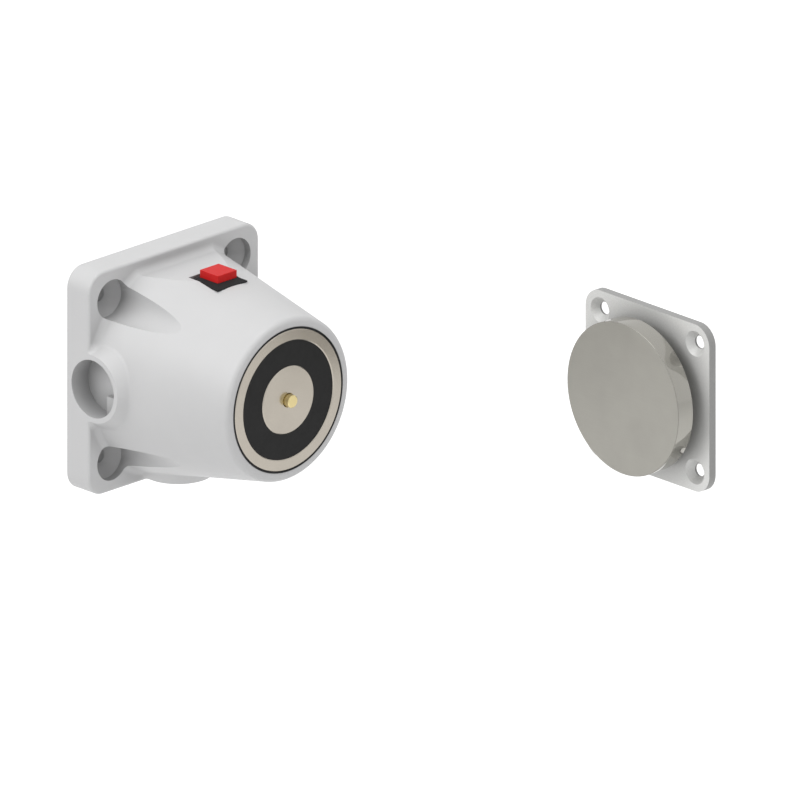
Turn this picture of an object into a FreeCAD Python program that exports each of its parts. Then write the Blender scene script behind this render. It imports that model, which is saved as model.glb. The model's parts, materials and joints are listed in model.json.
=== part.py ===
import FreeCAD, Part
import Sketcher
import math
import os
import re

# Electromagnetic door lock: a magnet unit for the wall and a keeper for the door.
# Frame: origin in the middle of the magnet unit's wall face, +X out of the wall along the
# magnet's axis, +Z up. The keeper faces -Y, as on a door that stands open at a right angle.

# Driving sizes, in millimetres and degrees
SIZES = {
    # base plate of the housing
    "plate_side": 80,
    "plate_depth": 10.5,
    "plate_corner": 7,
    "plate_edge": 1,
    # conical shroud, with its flat on top
    "shroud_foot_inset": 0.5,
    "shroud_nose_radius": 28.7,
    "shroud_reach": 65.75,
    "nose_edge": 2,
    "flat_inset": 5,
    "root_blend": 2.5,
    # cable collars and their blind entries
    "collar_radius": 12,
    "collar_flare": 35,
    "collar_root_depth": 13.5,
    "collar_from_wall": 12.4,
    "entry_radius": 10.25,
    "entry_floor": 1.7,
    "entry_step_height": 3,
    "entry_step_from_wall": 14.4,
    "entry_step_drop": 3.26,
    "entry_step_start": -17,
    "entry_step_turn": -21,
    # wall screw points
    "screw_inset": 11,
    "screw_hole_radius": 2.5,
    "channel_radius": 7,
    "seat_top": 7.6,
    "seat_bottom": 4,
    # inside of the housing
    "chamber_radius": 30.5,
    "bulkhead": 3,
    "access_radius": 6,
    # pot magnet
    "pot_radius": 25,
    "pot_length": 27,
    "pot_proud": 0.25,
    "pot_back": 6,
    "pot_bore_radius": 21,
    "core_radius": 12,
    "steel_chamfer": 0.3,
    "sleeve_wall": 0.55,
    "sleeve_proud": 0.15,
    "fit_gap": 0.05,
    "screw_clearance": 0.2,
    "drill_spare": 0.5,
    "potting_depth": 5.8,
    "potting_sink": 0.3,
    "bobbin_wall": 1,
    "winding_sink": 0.5,
    # screws that hold the pot to the bulkhead
    "pot_screw_circle": 16,
    "pot_screw_radius": 2,
    "pot_screw_bite": 4.5,
    "pot_head_radius": 4,
    "pot_head_height": 2.6,
    # ejector pin, its spring and plug
    "pin_radius": 2.25,
    "pin_proud": 2.3,
    "pin_guide": 10,
    "pin_collar_radius": 3.5,
    "pin_collar_length": 3,
    "pin_tail_radius": 1.6,
    "pin_tail_length": 3,
    "spring_wire_radius": 0.35,
    "spring_radius": 2.6,
    "spring_turns": 6,
    "plug_radius": 4,
    "plug_length": 4.4,
    "plug_sink": 0.4,
    "plug_socket": 1.7,
    "plug_socket_depth": 2.4,
    # release button and its switch body
    "bezel_side": 14,
    "bezel_behind": 4,
    "bezel_flange": 1.9,
    "bezel_proud": 0.5,
    "bezel_rim": 1.4,
    "bezel_recess": 1,
    "bezel_corner": 0.8,
    "switch_side": 12,
    "switch_depth": 6,
    "switch_well": 2.9,
    "well_depth": 4,
    "cap_side": 8.9,
    "cap_top_side": 8.4,
    "cap_proud": 3.3,
    "cap_skirt": 1.6,
    "cap_gap": 0.15,
    "cap_bore_radius": 2.6,
    "cap_bore_depth": 2.8,
    "cap_edge": 0.35,
    "cap_spring_radius": 2.1,
    "cap_spring_wire": 0.22,
    "blade_width": 2.8,
    "blade_thick": 0.6,
    "blade_length": 5.5,
    "blade_pitch": 6,
    # circuit board on its posts
    "board_width": 36,
    "board_height": 21,
    "board_top": -1,
    "board_thick": 1.6,
    "post_length": 10.4,
    "post_radius": 2.8,
    "post_across": 29,
    "post_up": 14,
    "board_screw_radius": 1.45,
    "board_screw_bite": 8,
    "board_head_radius": 2.7,
    "board_head_height": 1.8,
    # terminal block
    "block_pitch": 5.08,
    "block_ways": 4,
    "block_deep": 10,
    "block_tall": 9,
    "block_lift": 0.8,
    "block_bevel_up": 2,
    "block_bevel_back": 3,
    "block_hole_back": 3.3,
    "block_hole_radius": 1.6,
    "block_hole_depth": 6,
    "clamp_radius": 1.9,
    "clamp_length": 4,
    "clamp_slot": 0.6,
    "clamp_sink": 1,
    # suppressor across the coil
    "diode_radius": 1.35,
    "diode_length": 5.2,
    "diode_span": 10,
    "diode_lead": 0.4,
    "diode_across": 4,
    "diode_up": -8.5,
    "diode_stand": 0.4,
    # leads inside the chamber
    "lead_radius": 0.65,
    "lead_hole_radius": 2,
    "lead_hole_across": -17,
    "lead_hole_up": 1.5,
    "lead_pitch": 1.5,
    "lead_rise": 3.5,
    "lead_drop": 12,
    "lead_hump": 6,
    "landing_across": -8.25,
    "landing_pitch": 2.5,
    "landing_drop": 3.5,
    # keeper: plate, ball stud and disc
    "keeper_from_wall": 143.6,
    "keeper_aside": 93.3,
    "keeper_turn": -90,
    "door_plate_side": 60,
    "door_plate_thick": 3,
    "door_plate_corner": 7,
    "door_spacing": 46,
    "door_hole_radius": 2.25,
    "door_sink_radius": 4.5,
    "disc_radius": 27,
    "disc_thick": 7,
    "disc_gap": 4.6,
    "disc_edge": 0.2,
    "ball_radius": 2.9,
    "ball_depth": 2.6,
    "ball_gap": 0.1,
    "liner_wall": 0.5,
    "liner_mouth": 1.6,
    "neck_radius": 1.8,
    "stud_flange_radius": 8,
    "stud_flange": 1.5,
    "stud_rivet_radius": 4,
    "retainer_radius": 6.5,
    "retainer_depth": 2,
}

# How near a place must be to count as the same, in millimetres
NEAR = 0.01

doc = FreeCAD.newDocument("door_magnet_lock")
sheet = doc.addObject("Spreadsheet::Sheet", "Sizes")
for row, (word, size) in enumerate(SIZES.items(), 1):
    sheet.set(f"A{row}", word)
    sheet.set(f"B{row}", str(size))
    sheet.setAlias(f"B{row}", word)
doc.recompute()


def formula(text):
    """The same formula, with each size's word pointing at its cell in the sheet."""
    return re.sub(r"[a-z_]+", lambda m: "Sizes." + m[0] if m[0] in SIZES else m[0], str(text))


def value(text):
    """What a formula of sizes comes to now."""
    return float(sheet.evalExpression(formula(text)))


def bind(thing, prop, text):
    """Ties a property to a formula of sizes."""
    thing.setExpression(prop, formula(text))


# Places that several pieces share, as formulas of the driving sizes
SHROUD_FOOT = "(plate_side / 2 - shroud_foot_inset)"
ENTRY_LENGTH = "(plate_side / 2 - chamber_radius - entry_floor)"
SCREW_LINE = "(plate_side / 2 - screw_inset)"
FLAT_HEIGHT = "(plate_side / 2 - flat_inset)"
POT_FACE = "(shroud_reach + pot_proud)"
BULKHEAD_FRONT = f"({POT_FACE} - pot_length)"
CHAMBER_DEPTH = f"({BULKHEAD_FRONT} - bulkhead)"
COIL_BACK = f"({BULKHEAD_FRONT} + pot_back)"
POTTING_FACE = f"({POT_FACE} - potting_sink)"
POTTING_BACK = f"({POTTING_FACE} - potting_depth)"
SLEEVE_RADIUS = "(pot_radius + fit_gap + sleeve_wall)"
SHOULDER = f"({POT_FACE} - pin_guide)"
PLUG_FRONT = f"({BULKHEAD_FRONT} + plug_sink + plug_length)"
BEZEL_MIDDLE = f"({CHAMBER_DEPTH} - bezel_behind)"
BEZEL_TOP = f"({FLAT_HEIGHT} + bezel_proud)"
FLANGE_FOOT = f"({BEZEL_TOP} - bezel_flange)"
SWITCH_FOOT = f"({FLANGE_FOOT} - switch_depth)"
WELL_TOP = f"({BEZEL_TOP} - bezel_recess)"
WELL_FLOOR = f"({WELL_TOP} - well_depth)"
BOARD_FRONT = f"({CHAMBER_DEPTH} - post_length)"
BOARD_BACK = f"({BOARD_FRONT} - board_thick)"
BOARD_MIDDLE = "(board_top - board_height / 2)"
BALL_CENTRE = "(disc_gap + ball_depth)"
LINER_RADIUS = "(ball_radius + ball_gap + liner_wall)"
CUP_RADIUS = f"({LINER_RADIUS} + ball_gap)"

parts = []


def new_body(label):
    """An empty body that becomes one node of the part."""
    body = doc.addObject("PartDesign::Body", label)
    body.Label = label
    parts.append(body)
    return body


def new_sketch(body, name, plane, offset="0"):
    """A sketch on one of the body's own origin planes, moved along that plane's normal."""
    sketch = body.newObject("Sketcher::SketchObject", name)
    origin_plane = next(f for f in body.Origin.OriginFeatures if f.Role == plane + "_Plane")
    sketch.AttachmentSupport = [(origin_plane, "")]
    sketch.MapMode = "FlatFace"
    bind(sketch, "AttachmentOffset.Base.z", offset)
    return sketch


def fix(sketch, kind, geometry, point, text):
    """Holds one point's distance from the sketch's origin to a formula."""
    index = sketch.addConstraint(
        Sketcher.Constraint(kind, -1, 1, geometry, point, value(text))
    )
    sketch.setExpression(f"Constraints[{index}]", formula(text))


def polygon(sketch, points):
    """A closed outline of straight edges, each corner held by two formulas."""
    corners = [FreeCAD.Vector(value(a), value(b), 0) for a, b in points]
    first = sketch.GeometryCount
    count = len(corners)
    for i in range(count):
        sketch.addGeometry(Part.LineSegment(corners[i], corners[(i + 1) % count]), False)
    for i in range(count):
        after = first + (i + 1) % count
        sketch.addConstraint(Sketcher.Constraint("Coincident", first + i, 2, after, 1))
        fix(sketch, "DistanceX", first + i, 1, points[i][0])
        fix(sketch, "DistanceY", first + i, 1, points[i][1])
    return sketch


def square(sketch, middle_a, middle_b, side):
    """A square by its middle and side."""
    half = f"({side}) / 2"
    low_a, high_a = f"{middle_a} - {half}", f"{middle_a} + {half}"
    low_b, high_b = f"{middle_b} - {half}", f"{middle_b} + {half}"
    return polygon(sketch, [(low_a, low_b), (high_a, low_b), (high_a, high_b), (low_a, high_b)])


def circle(sketch, middle_a, middle_b, radius):
    """A circle by its middle and radius."""
    middle = FreeCAD.Vector(value(middle_a), value(middle_b), 0)
    upward = FreeCAD.Vector(0, 0, 1)
    index = sketch.addGeometry(Part.Circle(middle, upward, value(radius)), False)
    fix(sketch, "DistanceX", index, 3, middle_a)
    fix(sketch, "DistanceY", index, 3, middle_b)
    held = sketch.addConstraint(Sketcher.Constraint("Radius", index, value(radius)))
    sketch.setExpression(f"Constraints[{held}]", formula(radius))
    return sketch


def axis_line(sketch, start, end):
    """A construction line that a profile turns about."""
    ends = [FreeCAD.Vector(value(a), value(b), 0) for a, b in (start, end)]
    index = sketch.addGeometry(Part.LineSegment(*ends), True)
    for point, place in ((1, start), (2, end)):
        fix(sketch, "DistanceX", index, point, place[0])
        fix(sketch, "DistanceY", index, point, place[1])
    return (sketch, ["Axis0"])


def pad(body, sketch, length, backwards=False):
    """Material grown from a sketch along its normal."""
    feature = body.newObject("PartDesign::Pad", sketch.Name + "_pad")
    feature.Profile = sketch
    feature.Reversed = backwards
    bind(feature, "Length", length)
    doc.recompute()
    return feature


def pocket(body, sketch, length, backwards=False):
    """Material taken from a sketch against its normal, and proof that some was taken."""
    before = body.Shape.Volume
    feature = body.newObject("PartDesign::Pocket", sketch.Name + "_cut")
    feature.Profile = sketch
    feature.Reversed = backwards
    bind(feature, "Length", length)
    doc.recompute()
    if not feature.Shape.Volume < before:
        raise RuntimeError(f"{feature.Name} cuts nothing")
    return feature


def turn(body, sketch, axis=None, cut=False):
    """A full turn of a profile, added or cut, about the sketch's own X axis or a line in it."""
    kind = "PartDesign::Groove" if cut else "PartDesign::Revolution"
    before = body.Shape.Volume if cut else 0
    feature = body.newObject(kind, sketch.Name + ("_groove" if cut else "_turn"))
    feature.Profile = sketch
    feature.ReferenceAxis = axis or (sketch, ["H_Axis"])
    feature.Angle = 360
    doc.recompute()
    if cut and not feature.Shape.Volume < before:
        raise RuntimeError(f"{feature.Name} cuts nothing")
    return feature


def ring_pattern(body, features, count, angle=360):
    """Copies of features about the body's X axis."""
    pattern = body.newObject("PartDesign::PolarPattern", features[0].Name + "_ring")
    pattern.Originals = features
    x_axis = next(f for f in body.Origin.OriginFeatures if f.Role == "X_Axis")
    pattern.Axis = (x_axis, [""])
    pattern.Angle = angle
    pattern.Occurrences = count
    body.Tip = pattern
    doc.recompute()
    return pattern


def edge_names(shape, wanted):
    """The names of the edges that a test picks from their faces."""
    names = []
    for number, edge in enumerate(shape.Edges, 1):
        if wanted(edge, shape.ancestorsOfType(edge, Part.Face)):
            names.append(f"Edge{number}")
    return names


def dress(body, kind, name, names, size):
    """A fillet or chamfer on chosen edges of the body as it is so far."""
    feature = body.newObject("PartDesign::" + kind, name)
    feature.Base = (dress_base(body, feature), names)
    bind(feature, "Radius" if kind == "Fillet" else "Size", size)
    doc.recompute()
    return feature


def dress_base(body, feature):
    """The solid feature just before a new one in the body's tree."""
    solids = [f for f in body.Group if f is not feature and f.isDerivedFrom("PartDesign::Feature")]
    return solids[-1]


def on_plane(face, axis, place):
    """Whether a face is flat, square to an axis, at a place along it."""
    surface = face.Surface
    if not isinstance(surface, Part.Plane):
        return False
    along = abs(getattr(surface.Axis, axis))
    return along > 0.999 and abs(getattr(face.CenterOfMass, axis) - place) < NEAR


def cone_about(face, axis):
    """Whether a face is part of a cone whose axis lies along a row axis."""
    surface = face.Surface
    return isinstance(surface, Part.Cone) and abs(getattr(surface.Axis, axis)) > 0.999


def make_housing():
    """The moulding: plate, shroud, collars, screw channels, chamber, bulkhead and magnet seat."""
    body = new_body("housing")
    half = "plate_side / 2"
    plate = square(new_sketch(body, "plate", "YZ"), "0", "0", "plate_side")
    pad(body, plate, "plate_depth")
    corner = value(half)
    upright = edge_names(body.Shape, lambda e, f: abs(e.CenterOfMass.y) > corner - NEAR
                         and abs(e.CenterOfMass.z) > corner - NEAR)
    dress(body, "Fillet", "plate_corners", upright, "plate_corner")
    front = value("plate_depth")
    rim = edge_names(body.Shape, lambda e, f: abs(e.CenterOfMass.x - front) < NEAR)
    dress(body, "Fillet", "plate_rim", rim, "plate_edge")

    shroud = polygon(new_sketch(body, "shroud", "XY"), [
        ("plate_depth", "0"), ("plate_depth", SHROUD_FOOT),
        ("shroud_reach", "shroud_nose_radius"), ("shroud_reach", "0")])
    turn(body, shroud)
    nose = value("shroud_reach")
    lip = edge_names(body.Shape, lambda e, f: abs(e.CenterOfMass.x - nose) < NEAR)
    dress(body, "Fillet", "nose_lip", lip, "nose_edge")

    flat = polygon(new_sketch(body, "flat", "YZ", "plate_depth"), [
        (f"-{half}", FLAT_HEIGHT), (half, FLAT_HEIGHT),
        (half, "plate_side"), (f"-{half}", "plate_side")])
    pocket(body, flat, "shroud_reach", backwards=True)

    collar_sketch = new_sketch(body, "collar", "XY")
    collar_axis = axis_line(collar_sketch, ("collar_from_wall", f"-{half}"),
                            ("collar_from_wall", "0"))
    root_radius = "collar_radius + collar_root_depth * tan(collar_flare * 1 deg)"
    polygon(collar_sketch, [
        ("collar_from_wall", f"-{half}"), ("collar_from_wall + collar_radius", f"-{half}"),
        (f"collar_from_wall + {root_radius}", f"-{half} + collar_root_depth"),
        ("collar_from_wall", f"-{half} + collar_root_depth")])
    collar = turn(body, collar_sketch, collar_axis)
    ring_pattern(body, [collar], 3, 180)
    behind = square(new_sketch(body, "behind_wall_face", "YZ"), "0", "0", "plate_side")
    pocket(body, behind, "plate_depth")
    flat_up = value(FLAT_HEIGHT)

    def meets(edge, faces):
        """Whether an edge is where shroud, collar, flat and plate meet one another."""
        at_plate = abs(edge.CenterOfMass.x - front) < NEAR
        shroud_side = any(cone_about(f, "x") for f in faces)
        collar_side = any(cone_about(f, "y") or cone_about(f, "z") for f in faces)
        flat_side = any(on_plane(f, "z", flat_up) for f in faces)
        plate_side = any(on_plane(f, "x", front) for f in faces)
        if shroud_side and collar_side:
            return True
        return at_plate and plate_side and (shroud_side or collar_side or flat_side)

    dress(body, "Fillet", "root_blend", edge_names(body.Shape, meets), "root_blend")

    chamber = circle(new_sketch(body, "chamber", "YZ"), "0", "0", "chamber_radius")
    pocket(body, chamber, CHAMBER_DEPTH, backwards=True)
    seat = circle(new_sketch(body, "magnet_seat", "YZ", "shroud_reach"), "0", "0",
                  f"{SLEEVE_RADIUS} + fit_gap")
    pocket(body, seat, f"shroud_reach - {BULKHEAD_FRONT}")
    access = circle(new_sketch(body, "access", "YZ", BULKHEAD_FRONT), "0", "0", "access_radius")
    pocket(body, access, "bulkhead")
    lead_hole = circle(new_sketch(body, "lead_hole", "YZ", BULKHEAD_FRONT),
                       "lead_hole_across", "lead_hole_up", "lead_hole_radius")
    pocket(body, lead_hole, "bulkhead")
    screw_hole = circle(new_sketch(body, "pot_screw_hole", "YZ", BULKHEAD_FRONT),
                        "0", "-pot_screw_circle", "pot_screw_radius + screw_clearance")
    ring_pattern(body, [pocket(body, screw_hole, "bulkhead")], 3)

    screw_sketch = new_sketch(body, "screw_point", "XY", SCREW_LINE)
    line = SCREW_LINE
    screw_axis = axis_line(screw_sketch, ("0", line), ("shroud_reach", line))
    polygon(screw_sketch, [
        ("-drill_spare", line), ("-drill_spare", f"{line} + screw_hole_radius"),
        ("seat_bottom", f"{line} + screw_hole_radius"),
        ("seat_top", f"{line} + channel_radius"),
        ("shroud_reach", f"{line} + channel_radius"), ("shroud_reach", line)])
    ring_pattern(body, [turn(body, screw_sketch, screw_axis, cut=True)], 4)

    entry_sketch = new_sketch(body, "cable_entry", "XY")
    mouth = f"-{half} - drill_spare"
    entry_axis = axis_line(entry_sketch, ("collar_from_wall", mouth), ("collar_from_wall", "0"))
    polygon(entry_sketch, [
        ("collar_from_wall", mouth), ("collar_from_wall + entry_radius", mouth),
        ("collar_from_wall + entry_radius", f"-{half} + {ENTRY_LENGTH}"),
        ("collar_from_wall", f"-{half} + {ENTRY_LENGTH}")])
    ring_pattern(body, [turn(body, entry_sketch, entry_axis, cut=True)], 3, 180)
    wall_middle = "(entry_radius + collar_radius) / 2"
    step_angles = [f"(entry_step_start + {k} * entry_step_turn) * 1 deg" for k in range(4)]
    step = polygon(new_sketch(body, "entry_step", "XZ", f"{half} - {ENTRY_LENGTH}"), [
        ("entry_step_from_wall", "-entry_step_drop")] + [
        (f"collar_from_wall + {wall_middle} * cos({angle})", f"{wall_middle} * sin({angle})")
        for angle in step_angles])
    pad(body, step, "entry_step_height")

    bezel_seat = square(new_sketch(body, "bezel_seat", "XY", half),
                        BEZEL_MIDDLE, "0", "bezel_side + 2 * cap_gap")
    pocket(body, bezel_seat, f"{half} - {FLANGE_FOOT}")
    switch_hole = square(new_sketch(body, "switch_hole", "XY", FLANGE_FOOT),
                         BEZEL_MIDDLE, "0", "switch_side + 2 * cap_gap")
    through = f"{FLANGE_FOOT} - chamber_radius + switch_well"
    pocket(body, switch_hole, f"max(switch_depth; {through})")

    posts = new_sketch(body, "posts", "YZ", BOARD_FRONT)
    pilots_at = post_places()
    for across, up in pilots_at:
        circle(posts, across, up, "post_radius")
    pad(body, posts, "post_length + bulkhead / 2")
    pilots = new_sketch(body, "pilots", "YZ", BOARD_FRONT)
    for across, up in pilots_at:
        circle(pilots, across, up, "board_screw_radius + fit_gap")
    pocket(body, pilots, "board_screw_bite + drill_spare", backwards=True)
    return body


def make_ring(label, back, front, inner, outer):
    """A plain turned ring on the magnet's axis."""
    body = new_body(label)
    section = polygon(new_sketch(body, label + "_section", "XY"), [
        (back, inner), (back, outer), (front, outer), (front, inner)])
    turn(body, section)
    return body


def make_magnet_pot():
    """The turned steel cup: back, outer wall, core with its stepped bore, holes in the back."""
    body = new_body("magnet_pot")
    guide = "pin_radius + fit_gap"
    spring_bore = "pin_collar_radius + 2 * fit_gap"
    plug_bore = "plug_radius + fit_gap"
    section = polygon(new_sketch(body, "pot_section", "XY"), [
        (BULKHEAD_FRONT, plug_bore), (BULKHEAD_FRONT, "pot_radius"), (POT_FACE, "pot_radius"),
        (POT_FACE, "pot_bore_radius"), (COIL_BACK, "pot_bore_radius"),
        (COIL_BACK, "core_radius"), (POT_FACE, "core_radius"), (POT_FACE, guide),
        (SHOULDER, guide), (SHOULDER, spring_bore), (PLUG_FRONT, spring_bore),
        (PLUG_FRONT, plug_bore)])
    turn(body, section)
    face = value(POT_FACE)
    lips = edge_names(body.Shape, lambda e, f: abs(e.CenterOfMass.x - face) < NEAR)
    dress(body, "Chamfer", "pot_lips", lips, "steel_chamfer")
    tapped = circle(new_sketch(body, "tapped_hole", "YZ", BULKHEAD_FRONT),
                    "0", "-pot_screw_circle", "pot_screw_radius + fit_gap")
    ring_pattern(body, [pocket(body, tapped, "pot_screw_bite + drill_spare", backwards=True)], 3)
    lead_hole = circle(new_sketch(body, "pot_lead_hole", "YZ", BULKHEAD_FRONT),
                       "lead_hole_across", "lead_hole_up", "lead_hole_radius")
    pocket(body, lead_hole, "pot_back + fit_gap", backwards=True)
    return body


def make_coil():
    """Spool, winding and the resin ring that closes the cup in front of them."""
    spool = new_body("coil_bobbin")
    hub = "core_radius + 2 * fit_gap"
    rim = "pot_bore_radius - 2 * fit_gap"
    back = f"{COIL_BACK} + fit_gap"
    front = f"{POTTING_BACK} - fit_gap"
    section = polygon(new_sketch(spool, "spool_section", "XY"), [
        (back, hub), (back, rim), (f"{back} + bobbin_wall", rim),
        (f"{back} + bobbin_wall", f"{hub} + bobbin_wall"),
        (f"{front} - bobbin_wall", f"{hub} + bobbin_wall"),
        (f"{front} - bobbin_wall", rim), (front, rim), (front, hub)])
    turn(spool, section)
    make_ring("coil_winding", f"{back} + bobbin_wall + fit_gap",
              f"{front} - bobbin_wall - fit_gap",
              f"{hub} + bobbin_wall + fit_gap", f"{rim} - winding_sink")
    make_ring("potting_ring", POTTING_BACK, POTTING_FACE,
              "core_radius + fit_gap", "pot_bore_radius - fit_gap")


def make_pot_screws():
    """Three screws through the bulkhead into the back of the cup."""
    body = new_body("pot_screws")
    body.AllowCompound = True
    line = "-pot_screw_circle"
    sketch = new_sketch(body, "pot_screw", "XZ")
    axis = axis_line(sketch, ("0", line), (CHAMBER_DEPTH, line))
    polygon(sketch, [
        (f"{CHAMBER_DEPTH} - pot_head_height", line),
        (f"{CHAMBER_DEPTH} - pot_head_height", f"{line} - pot_head_radius"),
        (CHAMBER_DEPTH, f"{line} - pot_head_radius"),
        (CHAMBER_DEPTH, f"{line} - pot_screw_radius"),
        (f"{BULKHEAD_FRONT} + pot_screw_bite", f"{line} - pot_screw_radius"),
        (f"{BULKHEAD_FRONT} + pot_screw_bite", line)])
    ring_pattern(body, [turn(body, sketch, axis)], 3)


def spring(label, plane, middle, start, end, radius, wire, turns, upright):
    """An open coil spring: a round wire on a helix between two seats."""
    body = new_body(label)
    sketch = new_sketch(body, label + "_wire", plane)
    if upright:
        axis = axis_line(sketch, (middle, start), (middle, end))
        circle(sketch, f"{middle} + {radius}", f"{start} + {wire}", wire)
    else:
        axis = (sketch, ["H_Axis"])
        circle(sketch, f"{start} + {wire}", radius, wire)
    coil = body.newObject("PartDesign::AdditiveHelix", label + "_coil")
    coil.Profile = sketch
    coil.ReferenceAxis = axis
    coil.Mode = "pitch-turns-angle"
    bind(coil, "Pitch", f"({end} - {start} - 2 * {wire}) / {turns}")
    bind(coil, "Turns", turns)
    doc.recompute()
    return body


def make_ejector():
    """Brass pin with its collar, the spring behind it and the plug that closes the bore."""
    pin = new_body("ejector_pin")
    collar_front = f"{SHOULDER} - 2 * fit_gap"
    collar_back = f"{collar_front} - pin_collar_length"
    tail = f"{collar_back} - pin_tail_length"
    section = polygon(new_sketch(pin, "pin_section", "XY"), [
        (tail, "0"), (tail, "pin_tail_radius"), (collar_back, "pin_tail_radius"),
        (collar_back, "pin_collar_radius"), (collar_front, "pin_collar_radius"),
        (collar_front, "pin_radius"), (f"{POT_FACE} + pin_proud", "pin_radius"),
        (f"{POT_FACE} + pin_proud", "0")])
    turn(pin, section)
    tip = value(f"{POT_FACE} + pin_proud")
    lip = edge_names(pin.Shape, lambda e, f: abs(e.CenterOfMass.x - tip) < NEAR)
    dress(pin, "Chamfer", "pin_tip", lip, "steel_chamfer")
    spring("ejector_spring", "XY", "0", PLUG_FRONT, collar_back,
           "spring_radius", "spring_wire_radius", "spring_turns", False)

    plug = new_body("ejector_plug")
    back = f"({PLUG_FRONT} - plug_length)"
    round_sketch = circle(new_sketch(plug, "plug_round", "YZ", back), "0", "0", "plug_radius")
    pad(plug, round_sketch, "plug_length")
    socket = polygon(new_sketch(plug, "plug_socket_hex", "YZ", back), [
        (f"plug_socket * cos({60 * k} deg)", f"plug_socket * sin({60 * k} deg)")
        for k in range(6)])
    pocket(plug, socket, "plug_socket_depth", backwards=True)


def make_switch():
    """Square bezel with its switch body, the red cap, its spring and the two blades."""
    bezel = new_body("button_bezel")
    flange = square(new_sketch(bezel, "flange", "XY", FLANGE_FOOT),
                    BEZEL_MIDDLE, "0", "bezel_side")
    pad(bezel, flange, "bezel_flange")
    middle, half = value(BEZEL_MIDDLE), value("bezel_side / 2")
    upright = edge_names(bezel.Shape, lambda e, f: abs(abs(e.CenterOfMass.y) - half) < NEAR
                         and abs(abs(e.CenterOfMass.x - middle) - half) < NEAR)
    dress(bezel, "Fillet", "bezel_corners", upright, "bezel_corner")
    top = value(BEZEL_TOP)
    rim = edge_names(bezel.Shape, lambda e, f: abs(e.CenterOfMass.z - top) < NEAR)
    dress(bezel, "Chamfer", "bezel_rim_edge", rim, "bezel_corner / 2")
    lower = square(new_sketch(bezel, "switch_body", "XY", SWITCH_FOOT),
                   BEZEL_MIDDLE, "0", "switch_side")
    pad(bezel, lower, "switch_depth")
    recess = square(new_sketch(bezel, "recess", "XY", BEZEL_TOP),
                    BEZEL_MIDDLE, "0", "bezel_side - 2 * bezel_rim")
    pocket(bezel, recess, "bezel_recess")
    well = square(new_sketch(bezel, "well", "XY", WELL_TOP),
                  BEZEL_MIDDLE, "0", "cap_side + 2 * cap_gap")
    pocket(bezel, well, "well_depth")

    cap = new_body("release_button")
    skirt = square(new_sketch(cap, "skirt", "XY", f"{WELL_TOP} - cap_skirt"),
                   BEZEL_MIDDLE, "0", "cap_side")
    pad(cap, skirt, "cap_skirt")
    crown = square(new_sketch(cap, "crown", "XY", WELL_TOP), BEZEL_MIDDLE, "0", "cap_side")
    tapered = pad(cap, crown, "cap_proud")
    bind(tapered, "TaperAngle", "-atan((cap_side - cap_top_side) / 2 / cap_proud)")
    doc.recompute()
    cap_top = value(f"{WELL_TOP} + cap_proud")
    top_edges = edge_names(cap.Shape, lambda e, f: abs(e.CenterOfMass.z - cap_top) < NEAR)
    dress(cap, "Fillet", "cap_top_edge", top_edges, "cap_edge")
    bore = circle(new_sketch(cap, "cap_bore", "XY", f"{WELL_TOP} - cap_skirt"),
                  BEZEL_MIDDLE, "0", "cap_bore_radius")
    pocket(cap, bore, "cap_bore_depth", backwards=True)

    spring("button_spring", "XZ", BEZEL_MIDDLE, WELL_FLOOR,
           f"({WELL_TOP} - cap_skirt + cap_bore_depth)",
           "cap_spring_radius", "cap_spring_wire", "spring_turns", True)

    blades = new_body("switch_contacts")
    blades.AllowCompound = True
    sketch = new_sketch(blades, "blades", "XY", f"{SWITCH_FOOT} - blade_length")
    for side in ("-", ""):
        middle_y = f"{side}blade_pitch / 2"
        polygon(sketch, [
            (f"{BEZEL_MIDDLE} - blade_width / 2", f"{middle_y} - blade_thick / 2"),
            (f"{BEZEL_MIDDLE} + blade_width / 2", f"{middle_y} - blade_thick / 2"),
            (f"{BEZEL_MIDDLE} + blade_width / 2", f"{middle_y} + blade_thick / 2"),
            (f"{BEZEL_MIDDLE} - blade_width / 2", f"{middle_y} + blade_thick / 2")])
    pad(blades, sketch, "blade_length")


def post_places():
    """The four places of the board's posts and screws, across and up."""
    return [(f"{a}post_across / 2", f"{BOARD_MIDDLE} {b} post_up / 2")
            for a in ("-", "") for b in ("-", "+")]


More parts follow.
